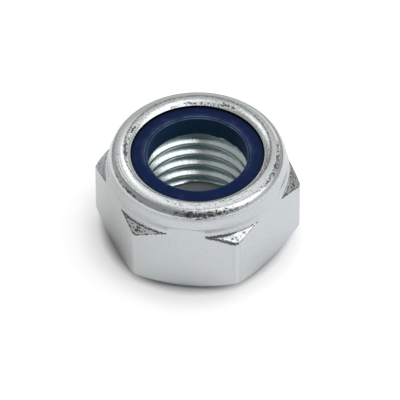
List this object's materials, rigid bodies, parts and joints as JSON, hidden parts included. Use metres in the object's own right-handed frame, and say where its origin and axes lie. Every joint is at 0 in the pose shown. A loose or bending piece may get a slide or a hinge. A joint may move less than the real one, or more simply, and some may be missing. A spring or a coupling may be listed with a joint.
{
  "type": "lock nut",
  "caption": "Hexagon lock nut for a metric screw thread, with a plastic ring held in its rolled collar that grips the bolt.",
  "frame": {"origin": "middle of the bearing face, on the axis of the thread", "axes": "+Z along the thread from the bearing face to the collar, two flats face +Y and -Y, corners point along +X and -X"},
  "size_m": [0.0274, 0.024, 0.0138],
  "materials": {
    "zinc_steel": "bright zinc plating, satin on the flats, burnished on the rolled bead",
    "blue_nylon": "dark blue polyamide with a soft sheen"
  },
  "bodies": {
    "root": {"nut_body": "zinc_steel", "insert_ring": "blue_nylon"}
  },
  "joints": []
}
